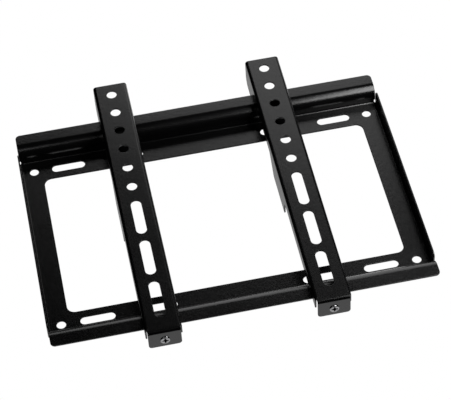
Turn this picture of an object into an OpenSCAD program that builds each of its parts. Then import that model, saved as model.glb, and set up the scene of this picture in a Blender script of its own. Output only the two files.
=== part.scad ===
// Fixed wall bracket for a flat television.
// A folded wall plate is bolted to the wall. Two folded arms are screwed to the back of the
// television, hang on the top rail of the plate and lean on its bottom rail.
// A lock screw in the foot of each arm comes up under the bottom rail, so the arm can't lift off.
// X runs to the right, Z runs up and the front faces -Y. The origin is on the wall, at the
// middle of the plate's corner holes.

/* [Sheet] */
// Thickness of the steel sheet
sheet_t = 1.2; // [0.8:0.1:1.6]
// Outer radius of the tight folds
fold_r = 2.5; // [2:0.1:3]

/* [Wall plate] */
// Width over the two side flanges
plate_w = 287.6; // [260:1:340]
// Height between the shelves of the two rails
shelf_gap = 176.2; // [160:0.1:200]
// Width of the strips left and right of the window, flange included
side_strip_w = 17.1; // [14:0.1:20]
// Height of the strips above and below the window
rail_strip_h = 20.5; // [17:0.1:24]
// Radius of the window's corners
window_r = 6; // [3:0.1:10]
// Depth from the wall to the front of the rails
rail_d = 14.9; // [12:0.1:16]
// Outer radius of the wide bend along the front of each rail
roll_r = 8.4; // [6:0.1:9]
// Height of the flat lip beyond the wide bend
lip_h = 9.3; // [8:0.1:14]
// Radius of the outer corners of the lips
lip_corner_r = 3.5; // [1:0.1:5]
// Distance from the outer face of a flange to the end of the rails
rail_end_gap = 0.8; // [0.5:0.1:2]
// Height of the side flanges
flange_h = 173.6; // [120:0.1:175]
// Radius of the front corners of the flanges
flange_corner_r = 3.5; // [0.5:0.1:4]
// Radius of the relief notch between a flange and a rail
notch_r = 1.1; // [1:0.1:3]

/* [Wall fixing holes] */
// Diameter of the four corner holes
corner_hole_d = 7; // [5:0.1:9]
// Distance from the outer face of a flange to the corner holes
corner_hole_in = 10.8; // [9:0.1:13]
// Distance from a shelf to the row of holes beside it
hole_row_in = 11; // [9:0.1:13]
// Width of the slots
wall_slot_w = 7; // [5:0.1:9]
// Length of the slots over their round ends
wall_slot_l = 26; // [16:1:36]
// Distance from a corner hole to the nearest slot's middle
first_slot_step = 27; // [22:1:32]
// Distance between the middles of neighbouring slots
wall_slot_step = 46; // [38:1:50]

/* [Arms] */
// Width of an arm
arm_w = 26.7; // [24:0.1:34]
// Depth from the wall to the front face of the arms
bracket_d = 25; // [22:0.5:35]
// Distance between the middles of the two arms
arm_pitch = 123.2; // [100:0.1:150]
// How far the pair of arms is pushed to the right on the rails
arm_shift = -0.9; // [-10:0.1:10]
// Height of the arms above the top lip
arm_rise = 28.3; // [22:0.1:40]
// Depth of the arms' foot below the bottom lip
foot_drop = 12.9; // [11:0.1:20]
// Distance from the wall to the deep parts of the arms
wall_gap = 2.2; // [1:0.1:5]
// Play between the arms and the rails
rail_play = 0.4; // [0.2:0.1:0.8]
// Radius of the upper rear corner of the arms' side walls
head_r = 8; // [2:0.1:12]
// Radius of the corners of the hook's tooth
tooth_r = 1.5; // [0.5:0.1:2]
// Height of the sloped run from the shallow to the deep side wall
flare_h = 14; // [8:0.5:20]
// Radius of the inner corner below the deep side wall
belly_r = 6; // [2:0.1:8]

/* [Television holes] */
// Diameter of the round holes
tv_hole_d = 8; // [6:0.1:9]
// Number of round holes in an arm
tv_hole_count = 6; // [4:1:6]
// Distance between the round holes
tv_hole_step = 20; // [18:0.5:20]
// Distance from the top of an arm to its first hole
tv_hole_in = 11.1; // [8:0.1:14]
// Distance from the last round hole to the middle of the first slot
tv_slot_first = 31.5; // [28:0.5:34]
// Width of the slots
tv_slot_w = 8; // [6:0.1:9]
// Length of the slots over their round ends
tv_slot_l = 33.4; // [20:0.1:36]
// Number of slots in an arm
tv_slot_count = 3; // [1:1:3]
// Distance between the slots
tv_slot_step = 40; // [38:0.5:40]

/* [Foot tab] */
// Width left free beside the foot tab on each side
tab_side_gap = 1.3; // [1:0.1:4]
// How far the foot tab reaches behind the front of the rails
tab_reach = 6.8; // [4:0.1:8]
// Radius of the tab's rear corners
tab_corner_r = 2.5; // [1:0.1:5]
// Height of the side walls' end above the underside of the tab
tab_relief_h = 3.5; // [3:0.1:6]

/* [Lock screw] */
// Diameter of the thread
screw_d = 5; // [4:0.5:6]
// Gap between the tip and the bottom lip
screw_gap = 0.3; // [0.1:0.1:1]
// Diameter of the head
head_d = 8; // [7:0.1:10]
// Height of the head
head_h = 1.5; // [1:0.1:3]
// Width of the arms of the cross recess
recess_w = 1.2; // [0.8:0.1:1.6]
// Length of the arms of the cross recess, end to end
recess_l = 4.8; // [3:0.1:5.5]
// Depth of the cross recess
recess_d = 0.9; // [0.5:0.1:1.2]
// Distance from the front of the rails to the screw's axis
screw_out = 0.1; // [0:0.1:1.8]
// Play between the thread and its hole
screw_play = 0.1; // [0.05:0.05:0.3]

/* [Hidden] */
$fn = 64;
// Height of the deep part of the side wall, as shares of half the window's height
belly_top_share = 0.41;
belly_foot_share = -0.155;
// Length of the hook's tooth, as a share of the lip
tooth_share = 0.8;
// Radius of the dome on the screw head, as a share of the head's diameter
dome_share = 0.8;
// How far cutting shapes run past what they cut
overrun = sheet_t;
shelf_z = shelf_gap / 2;
lip_z = shelf_z + roll_r + lip_h;
window_w = plate_w - 2 * side_strip_w;
window_h = shelf_gap - 2 * rail_strip_h;
rail_w = plate_w - 2 * rail_end_gap;
hole_x = plate_w / 2 - corner_hole_in;
hole_z = shelf_z - hole_row_in;
arm_top_z = lip_z + arm_rise;
foot_z = -lip_z - foot_drop;
wall_end_z = foot_z + tab_relief_h;
shallow_d = rail_d + rail_play;
tooth_front_d = rail_d - sheet_t - rail_play;
tooth_l = tooth_share * lip_h;
belly_top_z = belly_top_share * window_h / 2;
belly_foot_z = belly_foot_share * window_h / 2;
tv_hole_z = arm_top_z - tv_hole_in;
tv_slot_z = tv_hole_z - (tv_hole_count - 1) * tv_hole_step - tv_slot_first;
tab_w = arm_w - 2 * tab_side_gap;
tab_y = tab_reach - rail_d;
screw_y = -rail_d - screw_out;
screw_l = foot_drop - screw_gap;

// Extrudes an outline drawn in Y and Z along X, centred on X = 0
module along_x(length) {
    rotate([90, 0, 90])
        linear_extrude(height = length, center = true) children();
}

// Extrudes an outline drawn in X and Z along Y, between the two given depths in front of the wall
module along_y(back_d, front_d) {
    translate([0, -back_d, 0])
        rotate([90, 0, 0])
            linear_extrude(height = front_d - back_d) children();
}

// A quarter of a bent sheet, round the origin, in the quadrant where both coordinates are positive
module quarter_fold(outer_r) {
    intersection() {
        difference() {
            circle(r = outer_r);
            circle(r = outer_r - sheet_t);
        }
        square(outer_r);
    }
}

// A rectangle given by its lowest and highest corners
module box_2d(low, high) {
    translate(low) square([high[0] - low[0], high[1] - low[1]]);
}

// What a radius takes off a corner whose tip is at the origin and whose body lies towards -X and -Y
module corner_off(radius) {
    translate([-radius, -radius])
        difference() {
            square(radius + overrun);
            circle(r = radius);
        }
}

// A slot with round ends, long in X, centred on the origin
module slot_2d(length, width) {
    square([length - width, width], center = true);
    for (side = [-1, 1])
        translate([side * (length - width) / 2, 0]) circle(d = width);
}

// Section of the top rail in Y and Z: tight fold, shelf, wide bend and lip
module rail_section() {
    translate([-fold_r, shelf_z + sheet_t - fold_r]) quarter_fold(fold_r);
    box_2d([roll_r - rail_d, shelf_z], [-fold_r, shelf_z + sheet_t]);
    translate([roll_r - rail_d, shelf_z + roll_r]) rotate(180) quarter_fold(roll_r);
    box_2d([-rail_d, shelf_z + roll_r], [sheet_t - rail_d, lip_z]);
    box_2d([-sheet_t, window_h / 2], [0, shelf_z + sheet_t - fold_r]);
}

// The top rail with its strip of the panel and rounded lip corners
module rail() {
    difference() {
        along_x(rail_w) rail_section();
        for (side = [0, 1])
            mirror([side, 0, 0])
                along_y(rail_d - roll_r, rail_d + overrun)
                    translate([rail_w / 2, lip_z]) corner_off(lip_corner_r);
    }
}

// Section of the right flange in X and Y
module flange_section() {
    translate([plate_w / 2 - fold_r, -fold_r])
        quarter_fold(fold_r);
    box_2d([plate_w / 2 - sheet_t, -rail_d], [plate_w / 2, -fold_r]);
    box_2d([window_w / 2, -sheet_t], [plate_w / 2 - fold_r, 0]);
}

// The right flange with its strip of the panel and rounded front corners
module flange() {
    difference() {
        linear_extrude(height = flange_h, center = true) flange_section();
        for (side = [0, 1])
            mirror([0, 0, side])
                translate([plate_w / 2, 0, 0])
                    along_x(plate_w / 4)
                        translate([-rail_d, flange_h / 2]) mirror([1, 0]) corner_off(flange_corner_r);
    }
}

// What fills the corners of the window round
module window_corners() {
    along_y(0, sheet_t)
        for (x = [0, 1], z = [0, 1])
            mirror([x, 0]) mirror([0, z])
                difference() {
                    box_2d([window_w / 2 - window_r, window_h / 2 - window_r],
                           [window_w / 2 + overrun, window_h / 2 + overrun]);
                    translate([window_w / 2 - window_r, window_h / 2 - window_r])
                        circle(r = window_r);
                }
}

// Holes, slots and relief notches of the quarter of the plate at +X and +Z
module wall_holes() {
    translate([hole_x, hole_z]) circle(d = corner_hole_d);
    for (i = [0, 1])
        translate([hole_x - first_slot_step - i * wall_slot_step, hole_z])
            slot_2d(wall_slot_l, wall_slot_w);
    translate([rail_w / 2, shelf_z + sheet_t / 2]) circle(r = notch_r);
}

module wall_plate() {
    color("#1c1c1d")
        difference() {
            union() {
                for (side = [0, 1]) {
                    mirror([0, 0, side]) rail();
                    mirror([side, 0, 0]) flange();
                }
                window_corners();
            }
            along_y(-overrun, fold_r + overrun)
                for (x = [0, 1], z = [0, 1])
                    mirror([x, 0]) mirror([0, z]) wall_holes();
        }
}

// Section of an arm in X and Y: front face, two folds and the shallow side walls
module arm_section() {
    box_2d([fold_r - arm_w / 2, -bracket_d], [arm_w / 2 - fold_r, sheet_t - bracket_d]);
    for (side = [0, 1])
        mirror([side, 0]) {
            translate([arm_w / 2 - fold_r, fold_r - bracket_d])
                rotate(-90) quarter_fold(fold_r);
            box_2d([arm_w / 2 - sheet_t, fold_r - bracket_d], [arm_w / 2, -shallow_d]);
        }
}

// The deep parts of a side wall in Y and Z: the head with its hook, and the belly
module deep_wall() {
    front_y = fold_r - bracket_d;
    difference() {
        box_2d([front_y, lip_z], [-wall_gap, arm_top_z]);
        translate([-wall_gap, arm_top_z]) corner_off(head_r);
    }
    difference() {
        box_2d([-tooth_front_d, lip_z - tooth_l], [-wall_gap, lip_z]);
        translate([-wall_gap, lip_z - tooth_l]) mirror([0, 1]) corner_off(tooth_r);
        translate([-tooth_front_d, lip_z - tooth_l]) rotate(180) corner_off(tooth_r);
    }
    polygon([[front_y, belly_top_z + flare_h], [-shallow_d, belly_top_z + flare_h],
             [-wall_gap, belly_top_z], [-wall_gap, belly_foot_z], [front_y, belly_foot_z]]);
    difference() {
        box_2d([-shallow_d, belly_foot_z - belly_r], [belly_r - shallow_d, belly_foot_z]);
        translate([belly_r - shallow_d, belly_foot_z - belly_r]) circle(r = belly_r);
    }
}

// The tab folded back under the foot of an arm, in Y and Z
module tab_section() {
    box_2d([-bracket_d, foot_z + fold_r], [sheet_t - bracket_d, wall_end_z + overrun]);
    translate([fold_r - bracket_d, foot_z + fold_r]) rotate(180) quarter_fold(fold_r);
    box_2d([fold_r - bracket_d, foot_z], [tab_y, foot_z + sheet_t]);
}

// Television holes and slots in X and Z
module tv_holes() {
    for (i = [0 : tv_hole_count - 1])
        translate([0, tv_hole_z - i * tv_hole_step]) circle(d = tv_hole_d);
    for (i = [0 : tv_slot_count - 1])
        translate([0, tv_slot_z - i * tv_slot_step]) rotate(90) slot_2d(tv_slot_l, tv_slot_w);
}

module arm() {
    difference() {
        union() {
            translate([0, 0, wall_end_z])
                linear_extrude(height = arm_top_z - wall_end_z) arm_section();
            for (side = [-1, 1])
                translate([side * (arm_w - sheet_t) / 2, 0, 0])
                    along_x(sheet_t) deep_wall();
            difference() {
                along_x(tab_w) tab_section();
                for (side = [0, 1])
                    mirror([side, 0, 0])
                        translate([tab_w / 2, tab_y, foot_z - overrun])
                            linear_extrude(height = sheet_t + 2 * overrun)
                                corner_off(tab_corner_r);
            }
        }
        along_y(bracket_d - sheet_t - overrun, bracket_d + overrun) tv_holes();
        translate([0, screw_y, foot_z - overrun])
            cylinder(d = screw_d + 2 * screw_play, h = sheet_t + 2 * overrun);
    }
}

// A cross-recessed screw, standing with its thread up and its head under the foot tab
module lock_screw() {
    color("#2a2a2c")
        translate([0, screw_y, foot_z])
            difference() {
                union() {
                    cylinder(d = screw_d, h = screw_l);
                    rotate_extrude()
                        intersection() {
                            box_2d([0, -head_h], [head_d / 2, 0]);
                            translate([0, dome_share * head_d - head_h])
                                circle(r = dome_share * head_d);
                        }
                }
                for (turn = [0, 90])
                    rotate(turn)
                        translate([-recess_l / 2, -recess_w / 2, -head_h - overrun])
                            cube([recess_l, recess_w, recess_d + overrun]);
            }
}

module left_arm() {
    color("#222224") translate([arm_shift - arm_pitch / 2, 0, 0]) arm();
}

module right_arm() {
    color("#222224") translate([arm_shift + arm_pitch / 2, 0, 0]) arm();
}

module left_lock_screw() {
    translate([arm_shift - arm_pitch / 2, 0, 0]) lock_screw();
}

module right_lock_screw() {
    translate([arm_shift + arm_pitch / 2, 0, 0]) lock_screw();
}

wall_plate();
left_arm();
right_arm();
left_lock_screw();
right_lock_screw();
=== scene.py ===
import math

import bmesh
import bpy
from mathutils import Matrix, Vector
from mathutils.bvhtree import BVHTree


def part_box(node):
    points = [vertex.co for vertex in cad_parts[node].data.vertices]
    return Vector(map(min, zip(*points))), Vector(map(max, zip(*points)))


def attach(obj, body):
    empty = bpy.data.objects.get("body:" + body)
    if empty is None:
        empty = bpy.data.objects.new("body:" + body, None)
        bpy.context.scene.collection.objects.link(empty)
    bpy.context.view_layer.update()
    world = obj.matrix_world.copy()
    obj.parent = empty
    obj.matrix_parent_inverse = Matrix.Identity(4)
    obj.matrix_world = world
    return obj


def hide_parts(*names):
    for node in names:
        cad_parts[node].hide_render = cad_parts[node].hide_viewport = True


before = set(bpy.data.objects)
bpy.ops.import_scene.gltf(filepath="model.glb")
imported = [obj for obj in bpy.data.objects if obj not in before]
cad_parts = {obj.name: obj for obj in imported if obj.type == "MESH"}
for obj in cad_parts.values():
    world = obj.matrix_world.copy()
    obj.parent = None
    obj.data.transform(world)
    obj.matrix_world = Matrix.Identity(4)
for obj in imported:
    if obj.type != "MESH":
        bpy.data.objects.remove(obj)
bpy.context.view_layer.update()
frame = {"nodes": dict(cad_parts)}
scene = bpy.context.scene
scene.view_settings.view_transform = "Standard"
mm = 0.001  # Blender counts in metres

print("frame loaded:", ", ".join(frame["nodes"]))


# helpers for node trees

def link(tree, source, target):
    tree.links.new(source, target)


def mathNode(tree, operation, first, second=None, third=None, clamp=False):
    node = tree.nodes.new("ShaderNodeMath")
    node.operation = operation
    node.use_clamp = clamp
    for slot, value in enumerate((first, second, third)):
        if value is None:
            continue
        if isinstance(value, bpy.types.NodeSocket):
            link(tree, value, node.inputs[slot])
        else:
            node.inputs[slot].default_value = value
    return node.outputs[0]


def smoothStep(tree, value, low, high, outLow=0.0, outHigh=1.0):
    node = tree.nodes.new("ShaderNodeMapRange")
    node.interpolation_type = "SMOOTHSTEP"
    link(tree, value, node.inputs["Value"])
    node.inputs["From Min"].default_value = low
    node.inputs["From Max"].default_value = high
    node.inputs["To Min"].default_value = outLow
    node.inputs["To Max"].default_value = outHigh
    return node.outputs["Result"]


# finishes

def noiseField(tree, coordinates, scale, detail=2.0, roughness=0.5, offset=(0, 0, 0)):
    moved = tree.nodes.new("ShaderNodeMapping")
    moved.inputs["Location"].default_value = offset
    link(tree, coordinates, moved.inputs["Vector"])
    noise = tree.nodes.new("ShaderNodeTexNoise")
    noise.inputs["Scale"].default_value = scale
    noise.inputs["Detail"].default_value = detail
    noise.inputs["Roughness"].default_value = roughness
    link(tree, moved.outputs["Vector"], noise.inputs["Vector"])
    return noise.outputs["Fac"]


def powderCoat(name, coat):
    material = bpy.data.materials.new(name)
    material.use_nodes = True
    tree = material.node_tree
    shader = tree.nodes["Principled BSDF"]
    shader.inputs["IOR"].default_value = coat["ior"]
    coordinates = tree.nodes.new("ShaderNodeTexCoord").outputs["Object"]

    # uneven film: cloudy patches a few centimetres wide, a touch lighter and duller where thin
    cloud = noiseField(tree, coordinates, coat["cloudScale"], detail=3.0, roughness=0.55,
                       offset=coat["offset"])
    fleck = tree.nodes.new("ShaderNodeTexVoronoi")
    fleck.inputs["Scale"].default_value = coat["fleckScale"]
    link(tree, coordinates, fleck.inputs["Vector"])
    speck = smoothStep(tree, fleck.outputs["Distance"], coat["fleckSize"], 0.0)
    crowd = noiseField(tree, coordinates, coat["fleckScale"] * coat["fleckCrowding"], detail=1.0)
    rare = smoothStep(tree, crowd, *coat["fleckFrom"])
    speck = mathNode(tree, "MULTIPLY", speck, rare)

    tint = tree.nodes.new("ShaderNodeValToRGB")
    for stop, place, colour in zip(tint.color_ramp.elements, coat["tintStops"],
                                   (coat["dark"], coat["light"])):
        stop.position = place
        stop.color = (*colour, 1)
    link(tree, cloud, tint.inputs["Fac"])
    flecked = tree.nodes.new("ShaderNodeMix")
    flecked.data_type = "RGBA"
    flecked.inputs["B"].default_value = (*coat["fleckColour"], 1)
    link(tree, speck, flecked.inputs["Factor"])
    link(tree, tint.outputs["Color"], flecked.inputs["A"])
    link(tree, flecked.outputs["Result"], shader.inputs["Base Color"])

    # gloss wanders with the film and the grain; grain and orange peel also stand up a little
    grain = noiseField(tree, coordinates, coat["grainScale"], detail=2.0, roughness=0.6)
    peel = noiseField(tree, coordinates, coat["peelScale"], detail=1.0, roughness=0.4)
    glossFrom = coat["roughness"] - coat["roughSpread"] / 2
    gloss = mathNode(tree, "MULTIPLY_ADD", cloud, coat["roughSpread"], glossFrom)
    gloss = mathNode(tree, "MULTIPLY_ADD", grain, coat["roughSpread"], gloss)
    link(tree, gloss, shader.inputs["Roughness"])

    peelBump = tree.nodes.new("ShaderNodeBump")
    peelBump.inputs["Strength"].default_value = coat["peelStrength"]
    peelBump.inputs["Distance"].default_value = coat["peelDepth"]
    link(tree, peel, peelBump.inputs["Height"])
    grainBump = tree.nodes.new("ShaderNodeBump")
    grainBump.inputs["Strength"].default_value = coat["grainStrength"]
    grainBump.inputs["Distance"].default_value = coat["grainDepth"]
    link(tree, mathNode(tree, "ADD", grain, speck), grainBump.inputs["Height"])
    link(tree, peelBump.outputs["Normal"], grainBump.inputs["Normal"])
    link(tree, grainBump.outputs["Normal"], shader.inputs["Normal"])
    return material


plateCoat = {
    "ior": 1.5, "roughness": 0.20, "roughSpread": 0.05, "offset": (0.31, 0.07, 0.19),
    "dark": (0.0011, 0.0011, 0.0012), "light": (0.0024, 0.0024, 0.0025), "cloudScale": 26,
    "tintStops": (0.30, 0.72),
    "fleckScale": 620, "fleckSize": 0.16, "fleckColour": (0.05, 0.05, 0.05),
    "fleckCrowding": 0.23, "fleckFrom": (0.56, 0.62),
    "grainScale": 1300, "grainStrength": 0.42, "grainDepth": 0.00012,
    "peelScale": 420, "peelStrength": 0.34, "peelDepth": 0.00010,
}
armCoat = dict(plateCoat, offset=(0.05, 0.43, 0.27), grainStrength=0.20, peelStrength=0.26,
               fleckSize=0.12)
# the rounded edges are a few times lighter than the faces: partly a thinner coat there, partly a
# painted highlight along the edges
edgeCoatAndSheen = dict(plateCoat, roughness=0.22, dark=(0.004, 0.004, 0.0042),
                light=(0.008, 0.008, 0.0083))
cutCoat = dict(plateCoat, roughness=0.6, roughSpread=0.2, grainStrength=0.6)

platePaint = powderCoat("plate_powder_coat", plateCoat)
armPaint = powderCoat("arm_powder_coat", armCoat)
edgeCoatAndSheenPaint = powderCoat("thin_coat_and_painted_sheen_on_edges", edgeCoatAndSheen)
cutPaint = powderCoat("thin_coat_on_cuts", cutCoat)


def blackZinc(name, zinc):
    material = bpy.data.materials.new(name)
    material.use_nodes = True
    tree = material.node_tree
    shader = tree.nodes["Principled BSDF"]
    shader.inputs["Metallic"].default_value = zinc["metallic"]
    coordinates = tree.nodes.new("ShaderNodeTexCoord").outputs["Object"]
    stain = noiseField(tree, coordinates, zinc["stainScale"], detail=3.0)
    tint = tree.nodes.new("ShaderNodeValToRGB")
    for stop, place, colour in zip(tint.color_ramp.elements, zinc["tintStops"],
                                   (zinc["dark"], zinc["light"])):
        stop.position = place
        stop.color = (*colour, 1)
    link(tree, stain, tint.inputs["Fac"])
    link(tree, tint.outputs["Color"], shader.inputs["Base Color"])
    gloss = mathNode(tree, "MULTIPLY_ADD", stain, zinc["roughSpread"], zinc["roughness"])
    link(tree, gloss, shader.inputs["Roughness"])
    bump = tree.nodes.new("ShaderNodeBump")
    bump.inputs["Strength"].default_value = zinc["bumpStrength"]
    bump.inputs["Distance"].default_value = zinc["bumpDepth"]
    link(tree, noiseField(tree, coordinates, zinc["bumpScale"], detail=1.0), bump.inputs["Height"])
    link(tree, bump.outputs["Normal"], shader.inputs["Normal"])
    return material


screwZinc = {
    "metallic": 1.0, "roughness": 0.14, "roughSpread": 0.12, "stainScale": 700,
    "dark": (0.16, 0.16, 0.163), "light": (0.36, 0.36, 0.366),
    "tintStops": (0.35, 0.70),
    "bumpScale": 2600, "bumpStrength": 0.25, "bumpDepth": 0.00004,
}
screwPaint = blackZinc("screw_black_zinc", screwZinc)
print("finishes made")


# folded sheets: a copy of each CAD sheet with its edges rounded as a thick coat rounds them

sheetEdges = {
    "radius": 0.22 * mm, "segments": 2, "sharpFrom": math.radians(32),
    "mergeWithin": 0.001 * mm, "flatTo": math.radians(0.6), "strayFrom": 0.24 * mm,
    "flatWeight": 100,
    "cutFacing": 0.02,  # a punched wall faces neither front nor rear by more than this
    "plateCuts": (-1.19 * mm, -0.01 * mm), "armCuts": (-24.99 * mm, -23.81 * mm),
}
bareSlot, edgeSlot, cutSlot = range(3)


def coatedSheet(name, nodeName, paint, cutDepths):
    work = bmesh.new()
    work.from_mesh(frame["nodes"][nodeName].data)
    bmesh.ops.remove_doubles(work, verts=work.verts, dist=sheetEdges["mergeWithin"])
    bmesh.ops.dissolve_limit(work, angle_limit=sheetEdges["flatTo"], verts=work.verts,
                             edges=work.edges)
    for face in work.faces:
        face.smooth = True
        face.material_index = bareSlot
        # walls of the punched holes and the window: rougher, with a thinner coat
        middle = face.calc_center_median()
        facing = abs(face.normal.y)
        if facing < sheetEdges["cutFacing"] and cutDepths[0] < middle.y < cutDepths[1]:
            face.material_index = cutSlot
    bareTree = BVHTree.FromBMesh(work)
    mesh = bpy.data.meshes.new(name)
    work.to_mesh(mesh)
    work.free()
    for coat in (paint, edgeCoatAndSheenPaint, cutPaint):
        mesh.materials.append(coat)
    piece = bpy.data.objects.new(name, mesh)
    scene.collection.objects.link(piece)
    rounding = piece.modifiers.new("coat_rounding", "BEVEL")
    rounding.width = sheetEdges["radius"]
    rounding.segments = sheetEdges["segments"]
    rounding.limit_method = "ANGLE"
    rounding.angle_limit = sheetEdges["sharpFrom"]
    rounding.use_clamp_overlap = False
    # the rounded edges take the lighter edge coat, which paints part of their highlight
    rounding.material = edgeSlot
    evaluated = piece.evaluated_get(bpy.context.evaluated_depsgraph_get())
    rounded = bpy.data.meshes.new_from_object(evaluated)
    piece.modifiers.remove(rounding)
    # where two sharp edges run into each other the rounding overshoots: such points go back
    strays = 0
    for vertex in rounded.vertices:
        nearest, normal, index, distance = bareTree.find_nearest(vertex.co)
        if distance > sheetEdges["strayFrom"]:
            vertex.co = nearest
            strays += 1
    rounded.name = name
    piece.data = rounded
    flats = piece.modifiers.new("flat_faces_shade_flat", "WEIGHTED_NORMAL")
    flats.mode = "FACE_AREA"
    flats.weight = sheetEdges["flatWeight"]
    flats.keep_sharp = False
    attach(piece, "root")
    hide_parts(nodeName)
    print(name, "rounded,", strays, "points put back")


coatedSheet("coated_wall_plate", "wall_plate", platePaint, sheetEdges["plateCuts"])
coatedSheet("coated_left_arm", "left_arm", armPaint, sheetEdges["armCuts"])
coatedSheet("coated_right_arm", "right_arm", armPaint, sheetEdges["armCuts"])


# lock screws: a low head with a cross recess and a real thread, made in Geometry Nodes

lockScrew = {
    "threadDiameter": 5.0 * mm, "threadPitch": 0.8 * mm, "threadDepth": 0.36 * mm,
    "tipChamfer": 0.7 * mm, "rootInHead": 0.4, "grooveSlope": 1.5, "grooveFrom": -0.25,
    "headDiameter": 7.4 * mm, "headHeight": 1.0 * mm,
    "recessLength": 4.8 * mm, "recessWidth": 1.25 * mm, "recessCore": 2.9 * mm,
    "recessDepth": 1.6 * mm, "recessTaper": 0.5, "coreSides": 24,
    "seatAbove": 1.5 * mm,  # from the lowest point of the plain screw to the seat of its head
    "aroundSteps": 49, "alongSteps": 150, "headSteps": 41,
    "mergeWithin": 0.004 * mm, "sharpFrom": math.radians(28),
    # the head from its middle to its rim and back under it: way along, share of radius and height
    "headProfile": ((0.0, 0.0, 1.0), (0.35, 0.50, 0.985), (0.60, 0.80, 0.92), (0.70, 0.90, 0.78),
                    (0.78, 0.95, 0.55), (0.92, 1.0, 0.0), (1.0, 0.0, 0.0)),
}


def geometryNode(tree, kind, settings=None, **inputs):
    node = tree.nodes.new("GeometryNode" + kind)
    for key, value in (settings or {}).items():
        setattr(node, key, value)
    for key, value in inputs.items():
        socket = next(s for s in node.inputs if s.identifier.replace(" ", "") == key)
        if isinstance(value, bpy.types.NodeSocket):
            link(tree, value, socket)
        else:
            socket.default_value = value
    return node.outputs[0]


def profileCurve(tree, along, points, underFrom):
    node = tree.nodes.new("ShaderNodeFloatCurve")
    curve = node.mapping.curves[0]
    while len(curve.points) < len(points):
        curve.points.new(0.5, 0.5)
    for place, (x, y) in zip(curve.points, points):
        place.location = (x, y)
        # the rim and the flat underside after it stay sharp
        place.handle_type = "VECTOR" if x >= underFrom else "AUTO_CLAMPED"
    node.mapping.update()
    link(tree, along, node.inputs["Value"])
    return node.outputs[0]


def vectorOf(tree, x=0.0, y=0.0, z=0.0):
    node = tree.nodes.new("ShaderNodeCombineXYZ")
    for socket, value in zip(node.inputs, (x, y, z)):
        if isinstance(value, bpy.types.NodeSocket):
            link(tree, value, socket)
        else:
            socket.default_value = value
    return node.outputs[0]


def turnedSurface(tree, steps, shape):
    # a grid wrapped round the Z axis: shape makes radius and height from the turn and the way along
    grid = geometryNode(tree, "MeshGrid", SizeX=1.0, SizeY=1.0, VerticesX=steps[0],
                        VerticesY=steps[1])
    parts = tree.nodes.new("ShaderNodeSeparateXYZ")
    link(tree, tree.nodes.new("GeometryNodeInputPosition").outputs[0], parts.inputs[0])
    turn = mathNode(tree, "ADD", parts.outputs["X"], 0.5)
    along = mathNode(tree, "ADD", parts.outputs["Y"], 0.5)
    radius, height = shape(turn, along)
    angle = mathNode(tree, "MULTIPLY", turn, -2 * math.pi)
    x = mathNode(tree, "MULTIPLY", radius, mathNode(tree, "COSINE", angle))
    y = mathNode(tree, "MULTIPLY", radius, mathNode(tree, "SINE", angle))
    place = vectorOf(tree, x, y, height)
    wrapped = geometryNode(tree, "SetPosition", Geometry=grid, Position=place)
    return geometryNode(tree, "MergeByDistance", Geometry=wrapped,
                        Distance=lockScrew["mergeWithin"])


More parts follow.
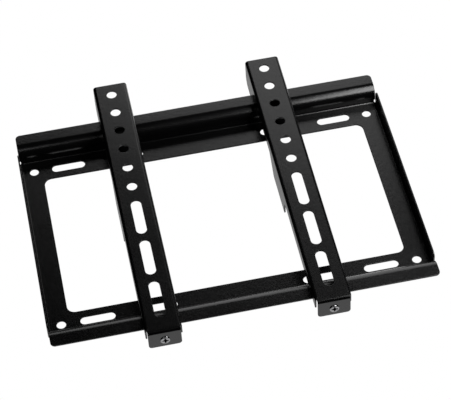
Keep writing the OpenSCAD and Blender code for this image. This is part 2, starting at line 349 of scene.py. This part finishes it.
def lockScrewTree():
    tree = bpy.data.node_groups.new("lock_screw", "GeometryNodeTree")
    tree.interface.new_socket("Geometry", in_out="OUTPUT", socket_type="NodeSocketGeometry")
    tree.interface.new_socket("Geometry", in_out="INPUT", socket_type="NodeSocketGeometry")
    keys = {}
    lengths = ("Thread Diameter", "Thread Length", "Thread Pitch", "Thread Depth", "Tip Chamfer",
               "Head Diameter", "Head Height", "Recess Core", "Recess Length", "Recess Width",
               "Recess Depth")
    for label, kind in (("Foot Place", "Vector"), *((length, "Float") for length in lengths),
                        ("Paint", "Material")):
        socket = tree.interface.new_socket(label, in_out="INPUT", socket_type="NodeSocket" + kind)
        keys[label] = socket.identifier
    given = tree.nodes.new("NodeGroupInput").outputs

    def shaft(turn, along):
        # the shaft starts inside the head, so that the two join cleanly
        root = mathNode(tree, "MULTIPLY", given["Head Height"], -lockScrew["rootInHead"])
        run = mathNode(tree, "SUBTRACT", given["Thread Length"], root)
        height = mathNode(tree, "MULTIPLY_ADD", along, run, root)
        turns = mathNode(tree, "DIVIDE", height, given["Thread Pitch"])
        phase = mathNode(tree, "FRACT", mathNode(tree, "SUBTRACT", turns, turn))
        wave = mathNode(tree, "ABSOLUTE", mathNode(tree, "MULTIPLY_ADD", phase, 2.0, -1.0))
        groove = mathNode(tree, "MULTIPLY_ADD", wave, lockScrew["grooveSlope"],
                          lockScrew["grooveFrom"], clamp=True)  # flat crest and flat root
        depth = mathNode(tree, "MULTIPLY", groove, given["Thread Depth"])
        outer = mathNode(tree, "MULTIPLY", given["Thread Diameter"], 0.5)
        radius = mathNode(tree, "SUBTRACT", outer, depth)
        left = mathNode(tree, "SUBTRACT", given["Thread Length"], height)
        tip = mathNode(tree, "ADD", mathNode(tree, "SUBTRACT", outer, given["Tip Chamfer"]), left)
        radius = mathNode(tree, "MINIMUM", radius, tip)
        # the first and the last ring close to a point
        hair = 0.0001
        inside = mathNode(tree, "MULTIPLY", mathNode(tree, "GREATER_THAN", along, hair),
                          mathNode(tree, "LESS_THAN", along, 1 - hair))
        return mathNode(tree, "MULTIPLY", radius, inside), height

    def head(turn, along):
        profile = lockScrew["headProfile"]
        underFrom = profile[-2][0]
        out = profileCurve(tree, along, [(a, r) for a, r, h in profile], underFrom)
        fall = profileCurve(tree, along, [(a, h) for a, r, h in profile], underFrom)
        outer = mathNode(tree, "MULTIPLY", given["Head Diameter"], 0.5)
        radius = mathNode(tree, "MULTIPLY", out, outer)
        height = mathNode(tree, "MULTIPLY", fall, given["Head Height"])
        return radius, mathNode(tree, "MULTIPLY", height, -1.0)

    threaded = turnedSurface(tree, (lockScrew["aroundSteps"], lockScrew["alongSteps"]), shaft)
    domed = turnedSurface(tree, (lockScrew["aroundSteps"], lockScrew["headSteps"]), head)
    whole = geometryNode(tree, "MeshBoolean", {"operation": "UNION", "solver": "EXACT"},
                         Mesh2=threaded)
    link(tree, domed, whole.node.inputs[1])

    # the cross recess: one tapered wing, repeated at a quarter turn, and a tapered core; both are
    # twice as deep as the recess, with the head's face half-way, where they have their full size
    taper = lockScrew["recessTaper"]
    deep = mathNode(tree, "MULTIPLY", given["Recess Depth"], 2.0)
    wing = geometryNode(tree, "MeshCone", Vertices=4, RadiusTop=taper / math.sqrt(2),
                        RadiusBottom=(2 - taper) / math.sqrt(2), Depth=1.0)
    wing = geometryNode(tree, "Transform", Geometry=wing, Rotation=(0, 0, math.pi / 4))
    two = geometryNode(tree, "MeshLine", Count=2, Offset=(0, 0, 0))
    index = tree.nodes.new("GeometryNodeInputIndex").outputs[0]
    quarter = mathNode(tree, "MULTIPLY", index, math.pi / 2)
    turned = tree.nodes.new("FunctionNodeEulerToRotation")
    link(tree, vectorOf(tree, z=quarter), turned.inputs[0])
    wings = geometryNode(tree, "InstanceOnPoints", Points=two, Instance=wing,
                         Rotation=turned.outputs[0],
                         Scale=vectorOf(tree, given["Recess Length"], given["Recess Width"], deep))
    core = geometryNode(tree, "MeshCone", Vertices=lockScrew["coreSides"], RadiusTop=taper / 2,
                        RadiusBottom=(2 - taper) / 2, Depth=1.0)
    core = geometryNode(tree, "Transform", Geometry=core,
                        Scale=vectorOf(tree, given["Recess Core"], given["Recess Core"], deep))
    wings = geometryNode(tree, "RealizeInstances", Geometry=wings)
    mouth = mathNode(tree, "ADD", given["Head Height"], given["Recess Depth"])
    mouth = mathNode(tree, "MULTIPLY", mouth, -1.0)
    wings = geometryNode(tree, "Transform", Geometry=wings, Translation=vectorOf(tree, z=mouth))
    core = geometryNode(tree, "Transform", Geometry=core, Translation=vectorOf(tree, z=mouth))
    cut = geometryNode(tree, "MeshBoolean", {"operation": "DIFFERENCE", "solver": "EXACT"},
                       Mesh1=whole, Mesh2=wings, SelfIntersection=True)
    link(tree, core, cut.node.inputs[1])

    placed = geometryNode(tree, "Transform", Geometry=cut, Translation=given["Foot Place"])
    placed = geometryNode(tree, "RealizeInstances", Geometry=placed)
    painted = geometryNode(tree, "SetMaterial", Geometry=placed, Material=given["Paint"])
    link(tree, painted, tree.nodes.new("NodeGroupOutput").inputs[0])
    return tree, keys


def grown(name, tree, keys, values):
    # runs a tree on an empty carrier and keeps the result as a plain mesh
    carrier = bpy.data.objects.new(name, bpy.data.meshes.new(name + "_carrier"))
    scene.collection.objects.link(carrier)
    grower = carrier.modifiers.new("grow", "NODES")
    grower.node_group = tree
    for label, value in values.items():
        grower[keys[label]] = value
    evaluated = carrier.evaluated_get(bpy.context.evaluated_depsgraph_get())
    mesh = bpy.data.meshes.new_from_object(evaluated)
    carrier.modifiers.remove(grower)
    carrier.data = mesh
    mesh.name = name
    return carrier


screwTree, screwKeys = lockScrewTree()
for side in ("left", "right"):
    nodeName = side + "_lock_screw"
    low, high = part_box(nodeName)
    foot = ((low.x + high.x) / 2, (low.y + high.y) / 2, low.z + lockScrew["seatAbove"])
    screw = grown("cross_head_" + nodeName, screwTree, screwKeys, {
        "Foot Place": foot, "Thread Diameter": lockScrew["threadDiameter"],
        "Thread Length": high.z - foot[2], "Thread Pitch": lockScrew["threadPitch"],
        "Thread Depth": lockScrew["threadDepth"], "Tip Chamfer": lockScrew["tipChamfer"],
        "Head Diameter": lockScrew["headDiameter"], "Head Height": lockScrew["headHeight"],
        "Recess Core": lockScrew["recessCore"], "Recess Length": lockScrew["recessLength"],
        "Recess Width": lockScrew["recessWidth"], "Recess Depth": lockScrew["recessDepth"],
        "Paint": screwPaint,
    })
    for polygon in screw.data.polygons:
        polygon.use_smooth = True
    screw.data.set_sharp_from_angle(angle=lockScrew["sharpFrom"])
    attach(screw, "root")
    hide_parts(nodeName)
    print(screw.name, "made with", len(screw.data.polygons), "faces")

# studio

view = {
    "place": (-0.12829, -1.08599, -0.94222), "turn": (132.1335, 11.1369, 2.8246),
    "lens": 151.624, "sensor": 36, "near": 0.01, "far": 50,
}
camera = bpy.data.cameras.new("view")
camera.lens = view["lens"]
camera.sensor_width = view["sensor"]
camera.clip_start = view["near"]
camera.clip_end = view["far"]
cameraHolder = bpy.data.objects.new("view", camera)
cameraHolder.location = view["place"]
cameraHolder.rotation_euler = [math.radians(a) for a in view["turn"]]
scene.collection.objects.link(cameraHolder)
scene.camera = cameraHolder

# what reflections see of the studio: near-black in front, white behind, half as bright overhead
studio = {
    "backFrom": 0.35, "backTo": 0.70, "frontLevel": 0.003, "backLevel": 1.0,
    "aloftFrom": 0.0, "aloftTo": 0.5, "aloftLevel": 0.5,
}
world = bpy.data.worlds.new("studio")
scene.world = world
world.use_nodes = True
tree = world.node_tree
background = tree.nodes["Background"]
direction = tree.nodes.new("ShaderNodeTexCoord").outputs["Generated"]
split = tree.nodes.new("ShaderNodeSeparateXYZ")
link(tree, direction, split.inputs[0])
backdrop = smoothStep(tree, split.outputs["Y"], studio["backFrom"], studio["backTo"],
                      studio["frontLevel"], studio["backLevel"])
aloft = smoothStep(tree, split.outputs["Z"], studio["aloftFrom"], studio["aloftTo"],
                   1.0, studio["aloftLevel"])
backdrop = mathNode(tree, "MULTIPLY", backdrop, aloft)
rays = tree.nodes.new("ShaderNodeLightPath")
seen = mathNode(tree, "MAXIMUM", rays.outputs["Is Camera Ray"], rays.outputs["Is Transmission Ray"])
white = (1, 1, 1, 1)
background.inputs["Color"].default_value = white
link(tree, mathNode(tree, "MAXIMUM", seen, backdrop), background.inputs["Strength"])


def softBox(name, place, aim, width, height, power):
    lamp = bpy.data.lights.new(name, "AREA")
    lamp.shape = "RECTANGLE"
    lamp.size = width
    lamp.size_y = height
    lamp.energy = power
    holder = bpy.data.objects.new(name, lamp)
    holder.location = place
    holder.rotation_euler = (Vector(aim) - Vector(place)).to_track_quat("-Z", "Y").to_euler()
    holder.visible_camera = False
    scene.collection.objects.link(holder)


middle = (0, 0, 0)
topBox = {"place": (0.425, -0.179, 1.225), "aim": middle, "width": 2.069, "height": 0.870,
          "power": 8.6}
lowBox = {"place": (0.255, -0.350, -0.094), "aim": middle, "width": 0.188, "height": 0.380,
          "power": 1.90}
farBox = {"place": (-0.249, -0.694, -0.310), "aim": middle, "width": 0.216, "height": 0.212,
          "power": 0.26}
softBox("top_soft_box", **topBox)
softBox("low_soft_box", **lowBox)
softBox("far_soft_box", **farBox)

paleFloor = {"level": -2.2, "front": 1.3, "back": 7.0, "half": 6.0,
             "colour": (0.85, 0.85, 0.85, 1), "roughness": 0.9}
floorMesh = bpy.data.meshes.new("floor")
corners = [(-paleFloor["half"], paleFloor["front"]), (paleFloor["half"], paleFloor["front"]),
           (paleFloor["half"], paleFloor["back"]), (-paleFloor["half"], paleFloor["back"])]
floorMesh.from_pydata([(x, y, paleFloor["level"]) for x, y in corners], [], [(0, 1, 2, 3)])
floor = bpy.data.objects.new("floor", floorMesh)
scene.collection.objects.link(floor)
floorPaint = bpy.data.materials.new("pale_floor")
floorPaint.use_nodes = True
tree = floorPaint.node_tree
shader = tree.nodes["Principled BSDF"]
shader.inputs["Base Color"].default_value = paleFloor["colour"]
shader.inputs["Roughness"].default_value = paleFloor["roughness"]
shader.inputs["Emission Color"].default_value = white
rays = tree.nodes.new("ShaderNodeLightPath")
seen = mathNode(tree, "MAXIMUM", rays.outputs["Is Camera Ray"], rays.outputs["Is Transmission Ray"])
seen = mathNode(tree, "MAXIMUM", seen, rays.outputs["Is Glossy Ray"])
link(tree, seen, shader.inputs["Emission Strength"])
floorMesh.materials.append(floorPaint)
print("studio lit")
